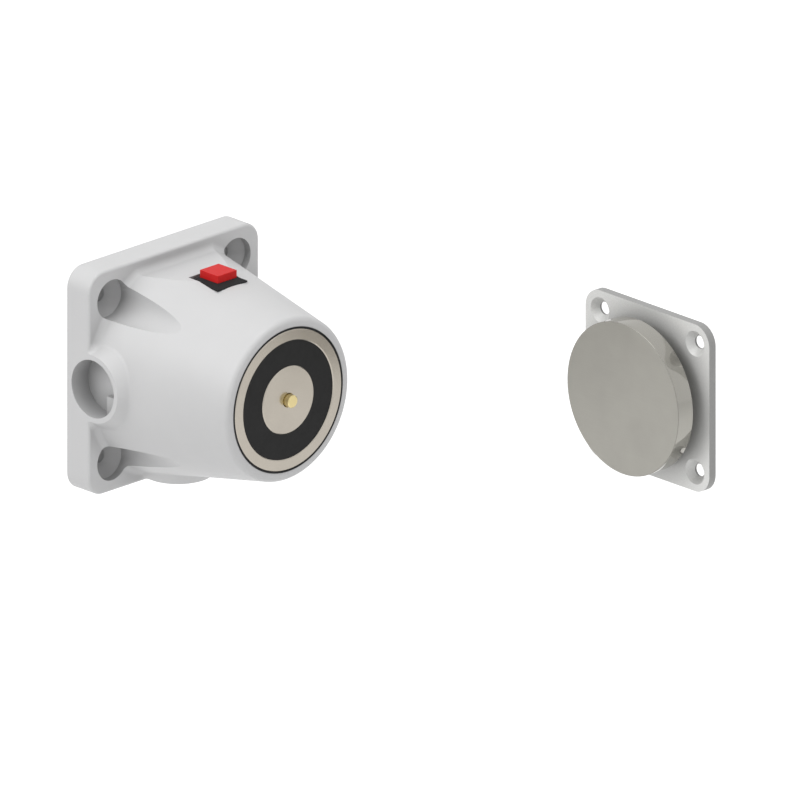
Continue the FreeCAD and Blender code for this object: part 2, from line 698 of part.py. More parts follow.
def make_board():
    """Circuit board, its screws, the terminal block with its screws, and the suppressor."""
    board = new_body("circuit_board")
    sketch = new_sketch(board, "board", "YZ", BOARD_BACK)
    low, high = "board_top - board_height", "board_top"
    polygon(sketch, [("-board_width / 2", low), ("board_width / 2", low),
                     ("board_width / 2", high), ("-board_width / 2", high)])
    for across, up in post_places():
        circle(sketch, across, up, "board_screw_radius + screw_clearance")
    pad(board, sketch, "board_thick")

    screws = new_body("board_screws")
    screws.AllowCompound = True
    heads = new_sketch(screws, "board_heads", "YZ", f"{BOARD_BACK} - board_head_height")
    shanks = new_sketch(screws, "board_shanks", "YZ", BOARD_BACK)
    for across, up in post_places():
        circle(heads, across, up, "board_head_radius")
        circle(shanks, across, up, "board_screw_radius")
    pad(screws, heads, "board_head_height")
    pad(screws, shanks, "board_thick + board_screw_bite")

    block = new_body("terminal_block")
    wide = "block_ways * block_pitch"
    foot = "(board_top - board_height + block_lift)"
    back = f"({BOARD_BACK} - block_deep)"
    side = polygon(new_sketch(block, "block_side", "XZ", f"-{wide} / 2"), [
        (BOARD_BACK, foot), (back, foot), (back, f"{foot} + block_tall - block_bevel_up"),
        (f"{back} + block_bevel_back", f"{foot} + block_tall"), (BOARD_BACK, f"{foot} + block_tall")])
    pad(block, side, wide)
    wire_holes = new_sketch(block, "wire_holes", "XY", foot)
    wells = new_sketch(block, "clamp_wells", "YZ", back)
    clamps = new_body("terminal_screws")
    clamps.AllowCompound = True
    clamp_sketch = new_sketch(clamps, "clamps", "YZ", f"{back} + clamp_sink")
    for way in range(SIZES["block_ways"]):
        across = f"({way} - (block_ways - 1) / 2) * block_pitch"
        circle(wire_holes, f"{BOARD_BACK} - block_hole_back", across, "block_hole_radius")
        circle(wells, across, f"{foot} + block_tall / 2", "clamp_radius + fit_gap")
        circle(clamp_sketch, across, f"{foot} + block_tall / 2", "clamp_radius")
    pocket(block, wire_holes, "block_hole_depth", backwards=True)
    pocket(block, wells, "clamp_length + clamp_sink", backwards=True)
    pad(clamps, clamp_sketch, "clamp_length - screw_clearance")
    slot = polygon(new_sketch(clamps, "clamp_slots", "YZ", f"{back} + clamp_sink"), [
        (f"-{wide} / 2", f"{foot} + block_tall / 2 - clamp_slot / 2"),
        (f"{wide} / 2", f"{foot} + block_tall / 2 - clamp_slot / 2"),
        (f"{wide} / 2", f"{foot} + block_tall / 2 + clamp_slot / 2"),
        (f"-{wide} / 2", f"{foot} + block_tall / 2 + clamp_slot / 2")])
    pocket(clamps, slot, "clamp_slot", backwards=True)

    diode = new_body("suppressor_diode")
    lift = f"({BOARD_BACK} - diode_radius - diode_stand)"
    can = circle(new_sketch(diode, "can", "XZ", "-diode_across - diode_length / 2"),
                 lift, "diode_up", "diode_radius")
    pad(diode, can, "diode_length")
    lead = circle(new_sketch(diode, "diode_wire", "XZ", "-diode_across - diode_span / 2"),
                  lift, "diode_up", "diode_lead")
    pad(diode, lead, "diode_span")
    legs = new_sketch(diode, "diode_legs", "YZ", lift)
    for sign in ("-", "+"):
        circle(legs, f"diode_across {sign} (diode_span / 2 - diode_lead)", "diode_up",
               "diode_lead")
    pad(diode, legs, f"{BOARD_BACK} - {lift}")


def wire_tube(points, radius):
    """A round wire along straight runs joined by tangent arcs."""
    corners = [FreeCAD.Vector(*(value(c) for c in point)) for point in points]
    edges = []
    here = corners[0]
    for before, corner, after in zip(corners, corners[1:], corners[2:]):
        into, out = corner - before, after - corner
        shorter = min(into.Length, out.Length)
        reach = 0.45 * shorter
        into.normalize()
        out.normalize()
        start, end = corner - into * reach, corner + out * reach
        half_turn = into.getAngle(out) / 2
        bend = reach / math.tan(half_turn)
        inward = (out - into).normalize()
        centre = corner + inward * (bend / math.cos(half_turn))
        middle = centre - inward * bend
        edges.append(Part.LineSegment(here, start).toShape())
        edges.append(Part.Arc(start, middle, end).toShape())
        here = end
    edges.append(Part.LineSegment(here, corners[-1]).toShape())
    path = Part.Wire(edges)
    direction = (corners[1] - corners[0]).normalize()
    ring = Part.Wire([Part.makeCircle(radius, corners[0], direction)])
    return path.makePipeShell([ring], True, False)


def make_leads(label, routes):
    """Two insulated wires as one node, read from the sheet."""
    radius = value("lead_radius")
    lead = doc.addObject("Part::Feature", label)
    lead.Label = label
    lead.Shape = Part.Compound([wire_tube(route, radius) for route in routes])
    lead.Placement = FreeCAD.Placement()
    parts.append(lead)


def make_wiring():
    """Coil leads from the spool to the board, and switch leads from the blades to the board."""
    coil_routes = []
    pad_height = "board_top - landing_drop"
    for side in ("-", "+"):
        up = f"lead_hole_up {'+' if side == '-' else '-'} lead_pitch / 2"
        landing = f"landing_across {side} landing_pitch / 2"
        coil_routes.append([
            (COIL_BACK, "lead_hole_across", up),
            (f"{BOARD_BACK} - lead_rise", "lead_hole_across", up),
            (f"{BOARD_BACK} - lead_rise", landing, pad_height),
            (BOARD_BACK, landing, pad_height)])
    make_leads("coil_leads", coil_routes)
    switch_routes = []
    for side in ("-", ""):
        across = f"{side}blade_pitch / 2"
        start = f"{SWITCH_FOOT} - blade_length"
        switch_routes.append([
            (BEZEL_MIDDLE, across, start),
            (BEZEL_MIDDLE, across, f"{start} - lead_drop"),
            (f"{BOARD_BACK} - lead_rise", across, "board_top + lead_hump"),
            (f"{BOARD_BACK} - lead_rise", across, pad_height),
            (BOARD_BACK, across, pad_height)])
    make_leads("switch_leads", switch_routes)


def place_keeper(body):
    """Moves a piece made about the X axis to the keeper's place, facing along -Y."""
    body.Placement = FreeCAD.Placement(
        FreeCAD.Vector(), FreeCAD.Rotation(FreeCAD.Vector(0, 0, 1), value("keeper_turn")))
    bind(body, "Placement.Base.x", "keeper_from_wall")
    bind(body, "Placement.Base.y", "keeper_aside")
    bind(body, "Placement.Rotation.Angle", "keeper_turn * 1 deg")


def ball(body, kind, radius):
    """A sphere about the keeper's ball centre, added or cut."""
    sphere = body.newObject(f"PartDesign::{kind}Sphere", f"{body.Name}_{kind}_ball")
    bind(sphere, "Radius", radius)
    bind(sphere, "Placement.Base.x", BALL_CENTRE)
    doc.recompute()


def make_keeper():
    """Door plate, ball stud, liner, disc and the ring that keeps the liner in the disc."""
    plate = new_body("armature_plate")
    outline = square(new_sketch(plate, "door_plate", "YZ", "-door_plate_thick"),
                     "0", "0", "door_plate_side")
    pad(plate, outline, "door_plate_thick")
    corner = value("door_plate_side / 2")
    upright = edge_names(plate.Shape, lambda e, f: abs(abs(e.CenterOfMass.y) - corner) < NEAR
                         and abs(abs(e.CenterOfMass.z) - corner) < NEAR)
    dress(plate, "Fillet", "door_plate_corners", upright, "door_plate_corner")
    centre_hole = circle(new_sketch(plate, "rivet_hole", "YZ"), "0", "0",
                         "stud_rivet_radius + fit_gap")
    pocket(plate, centre_hole, "door_plate_thick")
    line = "door_spacing / 2"
    sink = new_sketch(plate, "door_screw_hole", "XY", line)
    axis = axis_line(sink, ("-door_plate_thick", line), ("0", line))
    polygon(sink, [
        ("drill_spare", line), ("drill_spare", f"{line} + door_sink_radius + drill_spare"),
        ("door_hole_radius - door_sink_radius", f"{line} + door_hole_radius"),
        ("-door_plate_thick - drill_spare", f"{line} + door_hole_radius"),
        ("-door_plate_thick - drill_spare", line)])
    ring_pattern(plate, [turn(plate, sink, axis, cut=True)], 4)

    stud = new_body("ball_stud")
    section = polygon(new_sketch(stud, "stud_section", "XY"), [
        ("-door_plate_thick", "0"), ("-door_plate_thick", "stud_rivet_radius"),
        ("0", "stud_rivet_radius"), ("0", "stud_flange_radius"),
        ("stud_flange", "stud_flange_radius"), ("stud_flange", "neck_radius"),
        (BALL_CENTRE, "neck_radius"), (BALL_CENTRE, "0")])
    turn(stud, section)
    ball(stud, "Additive", "ball_radius")

    liner = new_body("ball_liner")
    ball(liner, "Additive", LINER_RADIUS)
    ball(liner, "Subtractive", "ball_radius + ball_gap")
    mouth = circle(new_sketch(liner, "liner_mouth_cut", "YZ", f"{BALL_CENTRE} - liner_mouth"),
                   "0", "0", f"{LINER_RADIUS} + liner_wall")
    pocket(liner, mouth, "2 * ball_radius")

    disc = new_body("keeper_disc")
    face = circle(new_sketch(disc, "disc_round", "YZ", "disc_gap"), "0", "0", "disc_radius")
    pad(disc, face, "disc_thick")
    rims = edge_names(disc.Shape, lambda e, f: isinstance(e.Curve, Part.Circle))
    dress(disc, "Chamfer", "disc_rims", rims, "disc_edge")
    seat = circle(new_sketch(disc, "retainer_seat", "YZ", "disc_gap"), "0", "0",
                  "retainer_radius + fit_gap")
    pocket(disc, seat, "retainer_depth", backwards=True)
    ball(disc, "Subtractive", CUP_RADIUS)

    keeper_ring = new_body("liner_retainer")
    ring = new_sketch(keeper_ring, "retainer_round", "YZ", "disc_gap")
    circle(ring, "0", "0", "retainer_radius")
    circle(ring, "0", "0", f"sqrt({CUP_RADIUS} * {CUP_RADIUS} - ball_depth * ball_depth)")
    pad(keeper_ring, ring, "retainer_depth")
    ball(keeper_ring, "Subtractive", CUP_RADIUS)
    for body in (plate, stud, liner, disc, keeper_ring):
        place_keeper(body)


make_housing()
make_magnet_pot()
make_coil()
make_ring("pot_sleeve", f"{BULKHEAD_FRONT} + fit_gap", "shroud_reach + sleeve_proud",
          "pot_radius + fit_gap", SLEEVE_RADIUS)
make_pot_screws()
make_ejector()
make_switch()
make_board()
make_wiring()
make_keeper()

doc.recompute()
for thing in doc.Objects:
    if "Invalid" in thing.State or "Error" in thing.State:
        raise RuntimeError(f"{thing.Name} failed: {thing.State}")

os.makedirs("parts", exist_ok=True)
for part in parts:
    if part.Shape.isNull() or not part.Shape.isValid():
        raise RuntimeError(f"{part.Label} is not a valid solid")
    part.Shape.exportStep(f"parts/{part.Label}.step")
    print(part.Label, len(part.Shape.Solids), round(part.Shape.Volume, 1))
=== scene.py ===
import json
import math

import bmesh
import bpy
import numpy as np
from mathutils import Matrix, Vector


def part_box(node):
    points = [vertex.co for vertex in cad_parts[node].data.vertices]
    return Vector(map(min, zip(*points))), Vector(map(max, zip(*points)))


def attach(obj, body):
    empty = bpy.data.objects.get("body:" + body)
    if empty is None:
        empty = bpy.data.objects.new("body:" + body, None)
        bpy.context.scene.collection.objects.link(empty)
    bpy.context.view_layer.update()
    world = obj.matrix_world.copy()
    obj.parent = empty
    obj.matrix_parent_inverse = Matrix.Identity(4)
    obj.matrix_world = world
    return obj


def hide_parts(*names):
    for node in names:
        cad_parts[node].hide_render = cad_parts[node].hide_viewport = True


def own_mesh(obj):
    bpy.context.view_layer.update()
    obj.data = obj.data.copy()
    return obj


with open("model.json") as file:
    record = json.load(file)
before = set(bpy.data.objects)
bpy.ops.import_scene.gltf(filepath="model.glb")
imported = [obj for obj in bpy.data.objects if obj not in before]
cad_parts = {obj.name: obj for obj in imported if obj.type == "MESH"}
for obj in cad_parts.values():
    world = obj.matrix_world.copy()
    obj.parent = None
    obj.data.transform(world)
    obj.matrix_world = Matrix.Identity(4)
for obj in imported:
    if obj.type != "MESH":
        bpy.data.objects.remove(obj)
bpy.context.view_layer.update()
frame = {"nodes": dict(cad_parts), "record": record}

# Electromagnetic door lock: a moulded magnet unit for the wall and its keeper for the door.
# All lengths are metres in the frame's own axes: +X along the magnet's axis, +Z up.
MM = 0.001
nodes = frame["nodes"]
scene = bpy.context.scene


def middle_of(node):
    """The middle of a node's box."""
    low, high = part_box(node)
    return (low + high) / 2


BORE_AXIS = (0.0, 0.0, 0.0)
DISC_MIDDLE = middle_of("keeper_disc")
DISC_RADIUS = (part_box("keeper_disc")[1].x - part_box("keeper_disc")[0].x) / 2
BOARD_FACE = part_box("circuit_board")[0].x
DIODE_MIDDLE = middle_of("suppressor_diode")
DIODE_CAN_HALF = 2.62 * MM
TIN = (0.72, 0.71, 0.68)


# Camera, floor and light

VIEW_AZIMUTH = math.radians(45.93)
VIEW_ELEVATION = math.radians(20.25)
VIEW_WIDTH = 0.2697
VIEW_DISTANCE = 1.5
VIEW_REACH = 20
AIM = Vector((0.09252, 0.02665, 0.00025))
FLOOR_DROP = 0.30
FLOOR_SIDE = 8.0
FLOOR_PALE = 0.88
FLOOR_GLOW = 0.45
FLOOR_GLOW_MORE = 0.09
AMBIENT = 0.54
LAMP_SIDE = 0.8
LAMP_AIM = Vector((0.08, 0.02, 0.0))
LAMPS = [
    ("soft_left", Vector((-0.165, -0.897, 0.734)), 5.5),
    ("soft_above", Vector((0.199, 0.020, 1.194)), 5.3),
    ("soft_front", Vector((1.214, -0.099, 0.358)), 1.5),
]


def towards_viewer():
    """The unit direction from the object to the viewer."""
    flat = math.cos(VIEW_ELEVATION)
    return Vector((math.sin(VIEW_AZIMUTH) * flat, -math.cos(VIEW_AZIMUTH) * flat,
                   math.sin(VIEW_ELEVATION)))


def add_camera():
    """Parallel view from the photograph's angle."""
    data = bpy.data.cameras.new("viewer")
    data.type = "ORTHO"
    data.ortho_scale = VIEW_WIDTH
    data.clip_end = VIEW_REACH
    camera = bpy.data.objects.new("viewer", data)
    scene.collection.objects.link(camera)
    camera.location = AIM + towards_viewer() * VIEW_DISTANCE
    camera.rotation_mode = "QUATERNION"
    camera.rotation_quaternion = (-towards_viewer()).to_track_quat("-Z", "Y")
    scene.camera = camera


def camera_rays(tree):
    """1 for rays that come straight from the camera, 0 for the others."""
    return tree.nodes.new("ShaderNodeLightPath").outputs["Is Camera Ray"]


def seen_rays(tree):
    """1 for rays that come straight from the camera, off metal or through glass."""
    path = tree.nodes.new("ShaderNodeLightPath")
    first = maths(tree, "MAXIMUM", path.outputs["Is Camera Ray"], path.outputs["Is Glossy Ray"])
    return maths(tree, "MAXIMUM", first, path.outputs["Is Transmission Ray"])


def add_world():
    """A white room to look at and to reflect, and an even soft light from all round."""
    world = bpy.data.worlds.new("white_room")
    world.use_nodes = True
    scene.world = world
    tree = world.node_tree
    tree.nodes.clear()
    out = tree.nodes.new("ShaderNodeOutputWorld")
    light = tree.nodes.new("ShaderNodeBackground")
    light.inputs["Color"].default_value = (1, 1, 1, 1)
    light.inputs["Strength"].default_value = AMBIENT
    white = tree.nodes.new("ShaderNodeBackground")
    white.inputs["Color"].default_value = (1, 1, 1, 1)
    mix = tree.nodes.new("ShaderNodeMixShader")
    tree.links.new(seen_rays(tree), mix.inputs[0])
    tree.links.new(light.outputs[0], mix.inputs[1])
    tree.links.new(white.outputs[0], mix.inputs[2])
    tree.links.new(mix.outputs[0], out.inputs[0])


def add_floor():
    """A pale floor well below the lock, which glows only for rays that are seen, so that it
    shows white, lights nothing and still takes a shadow."""
    side = FLOOR_SIDE / 2
    mesh = bpy.data.meshes.new("floor")
    corners = [(-side, -side, -FLOOR_DROP), (side, -side, -FLOOR_DROP),
               (side, side, -FLOOR_DROP), (-side, side, -FLOOR_DROP)]
    mesh.from_pydata(corners, [], [(0, 1, 2, 3)])
    floor = bpy.data.objects.new("floor", mesh)
    scene.collection.objects.link(floor)
    material = bpy.data.materials.new("pale_floor")
    material.use_nodes = True
    tree = material.node_tree
    tree.nodes.clear()
    out = tree.nodes.new("ShaderNodeOutputMaterial")
    pale = tree.nodes.new("ShaderNodeBsdfDiffuse")
    pale.inputs["Color"].default_value = (FLOOR_PALE, FLOOR_PALE, FLOOR_PALE, 1)
    glow = tree.nodes.new("ShaderNodeEmission")
    reflected = maths(tree, "MULTIPLY", seen_rays(tree), FLOOR_GLOW)
    straight = maths(tree, "MULTIPLY", camera_rays(tree), FLOOR_GLOW_MORE)
    tree.links.new(maths(tree, "ADD", reflected, straight), glow.inputs["Strength"])
    both = tree.nodes.new("ShaderNodeAddShader")
    tree.links.new(pale.outputs[0], both.inputs[0])
    tree.links.new(glow.outputs[0], both.inputs[1])
    tree.links.new(both.outputs[0], out.inputs[0])
    mesh.materials.append(material)


def add_lamps():
    """The square soft lamps, each turned to the object's middle."""
    for name, spot, power in LAMPS:
        data = bpy.data.lights.new(name, "AREA")
        data.shape = "SQUARE"
        data.size = LAMP_SIDE
        data.energy = power
        lamp = bpy.data.objects.new(name, data)
        scene.collection.objects.link(lamp)
        lamp.location = spot
        lamp.rotation_mode = "QUATERNION"
        lamp.rotation_quaternion = (LAMP_AIM - spot).to_track_quat("-Z", "Y")


# Small steps that the finishes are made of

def maths(tree, kind, first, second=0.5):
    """One arithmetic step on one or two values."""
    step = tree.nodes.new("ShaderNodeMath")
    step.operation = kind
    for socket, given in zip(step.inputs, (first, second)):
        if hasattr(given, "is_linked"):
            tree.links.new(given, socket)
        else:
            socket.default_value = given
    return step.outputs[0]


def new_finish(name, color, roughness, metallic=0.0, ior=1.5):
    """A finish with plain values, and the pieces of its tree that patterns join."""
    material = bpy.data.materials.new(name)
    material.use_nodes = True
    tree = material.node_tree
    shader = tree.nodes["Principled BSDF"]
    shader.inputs["Base Color"].default_value = (*color, 1)
    shader.inputs["Roughness"].default_value = roughness
    shader.inputs["Metallic"].default_value = metallic
    shader.inputs["IOR"].default_value = ior
    return material, tree, shader


def place(tree, shift=(0, 0, 0), stretch=(1, 1, 1)):
    """Object coordinates, moved and stretched."""
    where = tree.nodes.new("ShaderNodeTexCoord")
    moved = tree.nodes.new("ShaderNodeMapping")
    moved.inputs["Location"].default_value = shift
    moved.inputs["Scale"].default_value = stretch
    tree.links.new(where.outputs["Object"], moved.inputs["Vector"])
    return moved.outputs[0]


def grain(tree, size, detail=2.0, stretch=(1, 1, 1)):
    """Cloudy noise, 0 to 1, whose features are about a size across."""
    noise = tree.nodes.new("ShaderNodeTexNoise")
    noise.inputs["Scale"].default_value = 1 / size
    noise.inputs["Detail"].default_value = detail
    tree.links.new(place(tree, stretch=stretch), noise.inputs["Vector"])
    return noise.outputs["Fac"]


def distance_from(tree, centre, axis):
    """Distance from a line through a centre along one of the frame's axes."""
    keep = [0.0 if k == axis else 1.0 for k in range(3)]
    shift = [-c * k for c, k in zip(centre, keep)]
    length = tree.nodes.new("ShaderNodeVectorMath")
    length.operation = "LENGTH"
    tree.links.new(place(tree, shift, keep), length.inputs[0])
    return length.outputs["Value"]


def turned_lines(tree, centre, axis, pitch):
    """Uneven fine rings about an axis, as a lathe or a grinder leaves: noise along the radius."""
    rings = tree.nodes.new("ShaderNodeTexNoise")
    rings.noise_dimensions = "1D"
    rings.inputs["Scale"].default_value = 1 / pitch
    rings.inputs["Detail"].default_value = 3.0
    tree.links.new(distance_from(tree, centre, axis), rings.inputs["W"])
    return rings.outputs["Fac"]


def tint(tree, shader, amount, dark, light):
    """Base colour that goes from dark to light with an amount."""
    ramp = tree.nodes.new("ShaderNodeValToRGB")
    ramp.color_ramp.elements[0].color = (*dark, 1)
    ramp.color_ramp.elements[0].position = 0.3
    ramp.color_ramp.elements[1].color = (*light, 1)
    ramp.color_ramp.elements[1].position = 0.7
    tree.links.new(amount, ramp.inputs[0])
    tree.links.new(ramp.outputs[0], shader.inputs["Base Color"])
    return ramp


def vary_roughness(tree, shader, amount, low, high):
    """Roughness that goes from low to high with an amount."""
    span = tree.nodes.new("ShaderNodeMapRange")
    span.inputs["To Min"].default_value = low
    span.inputs["To Max"].default_value = high
    tree.links.new(amount, span.inputs["Value"])
    tree.links.new(span.outputs[0], shader.inputs["Roughness"])


def raise_surface(tree, shader, height, depth, below=None):
    """Relief of a depth in metres from a height of 0 to 1, on top of any relief below it."""
    relief = tree.nodes.new("ShaderNodeBump")
    relief.inputs["Distance"].default_value = depth
    relief.inputs["Strength"].default_value = 1.0
    tree.links.new(height, relief.inputs["Height"])
    if below is not None:
        tree.links.new(below, relief.inputs["Normal"])
    tree.links.new(relief.outputs[0], shader.inputs["Normal"])
    return relief.outputs[0]


def shade(color, factor):
    """A colour made darker or lighter."""
    return tuple(c * factor for c in color)


def facing(tree, axis):
    """How squarely the surface faces along one of the frame's axes, -1 to 1."""
    normal = tree.nodes.new("ShaderNodeNewGeometry")
    apart = tree.nodes.new("ShaderNodeSeparateXYZ")
    tree.links.new(normal.outputs["Normal"], apart.inputs[0])
    return apart.outputs[axis]


def darken(tree, shader, share):
    """The base colour times a share."""
    old = shader.inputs["Base Color"].links[0].from_socket
    darker = tree.nodes.new("ShaderNodeVectorMath")
    darker.operation = "SCALE"
    tree.links.new(old, darker.inputs[0])
    tree.links.new(share, darker.inputs["Scale"])
    tree.links.new(darker.outputs[0], shader.inputs["Base Color"])


def paint_shade_in_corners(tree, shader, reach, weight):
    """Painted shade: base colour made darker where the surface is closed in by others within a
    reach, as ambient occlusion shades it.
    """
    closed = tree.nodes.new("ShaderNodeAmbientOcclusion")
    closed.inputs["Distance"].default_value = reach
    closed.samples = 12
    open_part = maths(tree, "MULTIPLY", closed.outputs["AO"], weight)
    darken(tree, shader, maths(tree, "ADD", open_part, 1.0 - weight))


# Finishes, one for each of the record's material slots

def moulded(name, color, roughness, flow=0.02, ior=1.5, corners=0.0):
    """Moulded plastic: fine eroded texture, broad faint flow of colour, uneven gloss, and
    where corners are given, a share of painted shade by which closed-in places are darker."""
    material, tree, shader = new_finish(name, color, roughness, ior=ior)
    broad = grain(tree, 14 * MM, 3.0)
    tint(tree, shader, broad, shade(color, 1 - flow), shade(color, 1 + flow))
    # Painted shade: closed-in places made darker by the corners share.
    if corners:
        paint_shade_in_corners(tree, shader, reach=11 * MM, weight=corners)
    vary_roughness(tree, shader, grain(tree, 3 * MM, 4.0), roughness - 0.05, roughness + 0.05)
    raise_surface(tree, shader, grain(tree, 0.25 * MM), 0.004 * MM)
    return material


def turned_metal(name, color, roughness, pitch=0.12 * MM, metallic=1.0):
    """Bright metal turned about the bore: fine uneven rings, a faint drift of colour."""
    material, tree, shader = new_finish(name, color, roughness, metallic)
    lines = turned_lines(tree, BORE_AXIS, 0, pitch)
    tint(tree, shader, grain(tree, 9 * MM, 3.0), shade(color, 0.97), shade(color, 1.03))
    vary_roughness(tree, shader, lines, roughness - 0.04, roughness + 0.05)
    raise_surface(tree, shader, lines, 0.0006 * MM)
    return material


def plated_metal(name, color, roughness):
    """Bright plating: cloudy gloss and very fine orange peel."""
    material, tree, shader = new_finish(name, color, roughness, 1.0)
    tint(tree, shader, grain(tree, 2.5 * MM, 3.0), shade(color, 0.93), shade(color, 1.04))
    vary_roughness(tree, shader, grain(tree, 0.8 * MM, 3.0), roughness - 0.06, roughness + 0.08)
    raise_surface(tree, shader, grain(tree, 0.3 * MM), 0.002 * MM)
    return material


def coated_plate(name, color):
    """Fine matt coat on the door plate: speckled pale grains, a soft satin, painted shade on
    edges and corners.
    """
    material, tree, shader = new_finish(name, color, 0.42, 0.15)
    speckle = grain(tree, 0.42 * MM, 3.0)
    tint(tree, shader, speckle, shade(color, 0.94), shade(color, 1.05))
    # Painted shade: faces not squarely along Y, the plate's edges and hole walls, are painted
    # darker.
    edge_painted_shade = 0.42
    front = maths(tree, "GREATER_THAN", maths(tree, "ABSOLUTE", facing(tree, "Y")), 0.4)
    share = maths(tree, "ADD", maths(tree, "MULTIPLY", front, 1 - edge_painted_shade), edge_painted_shade)
    darken(tree, shader, share)
    # Painted shade where the plate is closed in, darkest round the disc.
    paint_shade_in_corners(tree, shader, reach=9 * MM, weight=0.6)
    vary_roughness(tree, shader, speckle, 0.34, 0.52)
    raise_surface(tree, shader, speckle, 0.012 * MM)
    return material


def ground_disc(name, color):
    """Nickel on the keeper's disc: straight fine grinding on the face, a bright rim, and a bevel,
    which faces neither squarely along Y nor squarely across it, painted darker as shade over its
    highlight."""
    material, tree, shader = new_finish(name, color, 0.25, 0.8)
    lines = grain(tree, 0.22 * MM, 3.0, stretch=(0.02, 1, 1))
    tint(tree, shader, grain(tree, 11 * MM, 2.0), shade(color, 0.97), shade(color, 1.03))
    out_here = distance_from(tree, DISC_MIDDLE, 1)
    rim = maths(tree, "GREATER_THAN", out_here, DISC_RADIUS - 0.04 * MM)
    face = maths(tree, "SUBTRACT", 1.0, rim)
    square_on = maths(tree, "ABSOLUTE", facing(tree, "Y"))
    # Painted shade: the bevel's base colour is made a quarter darker.
    bevel = maths(tree, "MULTIPLY", maths(tree, "GREATER_THAN", square_on, 0.3),
                  maths(tree, "LESS_THAN", square_on, 0.95))
    darker = maths(tree, "MULTIPLY", bevel, 0.25)
    darken(tree, shader, maths(tree, "SUBTRACT", 1.0, darker))
    uneven = maths(tree, "MULTIPLY", lines, face)
    ground = maths(tree, "MULTIPLY", uneven, 0.4)
    dull = maths(tree, "ADD", maths(tree, "MULTIPLY", face, 0.8), ground)
    vary_roughness(tree, shader, dull, 0.07, 0.5)
    raise_surface(tree, shader, uneven, 0.0008 * MM)
    return material


def cast_resin(name, color):
    """Black resin: smooth, a little cloudy, with a few tiny pits where bubbles broke."""
    material, tree, shader = new_finish(name, color, 0.5, ior=1.28)
    pits = tree.nodes.new("ShaderNodeTexVoronoi")
    pits.inputs["Scale"].default_value = 1 / (3.4 * MM)
    tree.links.new(place(tree), pits.inputs["Vector"])
    hole = maths(tree, "GREATER_THAN", pits.outputs["Distance"], 0.045)
    tint(tree, shader, grain(tree, 5 * MM, 3.0), shade(color, 0.85), shade(color, 1.15))
    vary_roughness(tree, shader, grain(tree, 1.5 * MM, 3.0), 0.42, 0.58)
    below = raise_surface(tree, shader, grain(tree, 2.2 * MM, 2.0), 0.02 * MM)
    raise_surface(tree, shader, hole, 0.03 * MM, below)
    return material


def wound_copper(name, color):
    """Enamelled winding wire: warm gloss that changes a little from turn to turn."""
    material, tree, shader = new_finish(name, color, 0.28, 1.0)
    shader.inputs["Coat Weight"].default_value = 0.6
    shader.inputs["Coat Roughness"].default_value = 0.12
    tint(tree, shader, grain(tree, 0.5 * MM, 2.0, stretch=(1, 0.1, 0.1)),
         shade(color, 0.8), shade(color, 1.1))
    vary_roughness(tree, shader, grain(tree, 1.0 * MM), 0.22, 0.36)
    return material


def drawn_wire(name, color):
    """Spring wire: dull grey metal with fine draw marks."""
    material, tree, shader = new_finish(name, color, 0.32, 1.0)
    marks = grain(tree, 0.12 * MM, 3.0)
    tint(tree, shader, marks, shade(color, 0.85), shade(color, 1.1))
    vary_roughness(tree, shader, marks, 0.26, 0.4)
    raise_surface(tree, shader, marks, 0.002 * MM)
    return material


def board_laminate(name, color):
    """Circuit board: glossy green mask on both faces, woven pale laminate at its cut edges."""
    material, tree, shader = new_finish(name, color, 0.28)
    laminate = (0.42, 0.36, 0.17)
    weave = tree.nodes.new("ShaderNodeTexWave")
    weave.bands_direction = "Z"
    weave.inputs["Scale"].default_value = 1 / (1.6 * MM)
    weave.inputs["Distortion"].default_value = 1.0
    tree.links.new(place(tree), weave.inputs["Vector"])
    face = maths(tree, "GREATER_THAN", maths(tree, "ABSOLUTE", facing(tree, "X")), 0.5)
    mix = tree.nodes.new("ShaderNodeMix")
    mix.data_type = "RGBA"
    mix.inputs["A"].default_value = (*laminate, 1)
    cloud = tint(tree, shader, grain(tree, 4 * MM, 2.0), shade(color, 0.9), shade(color, 1.12))
    tree.links.new(cloud.outputs[0], mix.inputs["B"])
    tree.links.new(face, mix.inputs["Factor"])
    tree.links.new(mix.outputs["Result"], shader.inputs["Base Color"])
    vary_roughness(tree, shader, grain(tree, 2 * MM), 0.22, 0.36)
    raise_surface(tree, shader, weave.outputs["Fac"], 0.006 * MM)
    return material


def lead_insulation(name, color):
    """Soft insulation of the leads: faint dull bloom and slight ripple."""
    material, tree, shader = new_finish(name, color, 0.42)
    tint(tree, shader, grain(tree, 2 * MM, 2.0), shade(color, 0.85), shade(color, 1.15))
    vary_roughness(tree, shader, grain(tree, 0.7 * MM), 0.36, 0.52)
    raise_surface(tree, shader, grain(tree, 0.9 * MM), 0.01 * MM)
    return material


def diode_with_legs(name, color):
    """The diode: a black moulded can, and bright tinned legs beyond both of its ends."""
    material, tree, shader = new_finish(name, color, 0.35)
    apart = tree.nodes.new("ShaderNodeSeparateXYZ")
    tree.links.new(place(tree, (0, -DIODE_MIDDLE.y, 0)), apart.inputs[0])
    off_middle = maths(tree, "ABSOLUTE", apart.outputs["Y"])
    leg = maths(tree, "GREATER_THAN", off_middle, DIODE_CAN_HALF)
    tint(tree, shader, leg, color, TIN)
    tree.links.new(leg, shader.inputs["Metallic"])
    vary_roughness(tree, shader, grain(tree, 0.6 * MM, 3.0), 0.24, 0.42)
    raise_surface(tree, shader, grain(tree, 0.25 * MM), 0.003 * MM)
    return material


